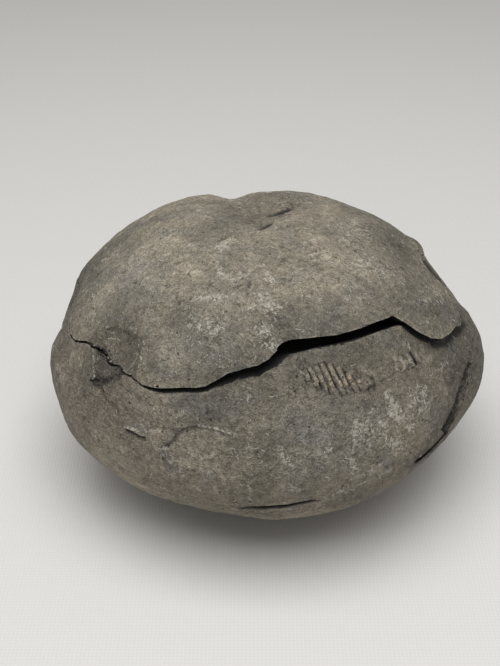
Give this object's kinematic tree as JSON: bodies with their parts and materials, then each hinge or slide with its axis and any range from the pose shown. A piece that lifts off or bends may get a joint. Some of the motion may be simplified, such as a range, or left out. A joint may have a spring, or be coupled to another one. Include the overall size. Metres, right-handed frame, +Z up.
{
  "type": "fossil ammonite nodule",
  "caption": "Egg-shaped mudstone nodule split by a ragged crack into a domed cap and a base, with the ribs of an ammonite's outer whorl showing below the gap.",
  "frame": {"origin": "under the middle of the nodule's box, on the worn face that it rests on", "axes": "+Z up; +X along the nodule's longest side, to the right as seen from its front; -Y towards the front, where the crack gapes and the ribs show"},
  "size_m": [0.1004, 0.095, 0.0631],
  "materials": {
    "nodule_base": null,
    "nodule_cap": null
  },
  "bodies": {
    "root": {"nodule_base": "nodule_base", "nodule_cap": "nodule_cap"}
  },
  "joints": []
}
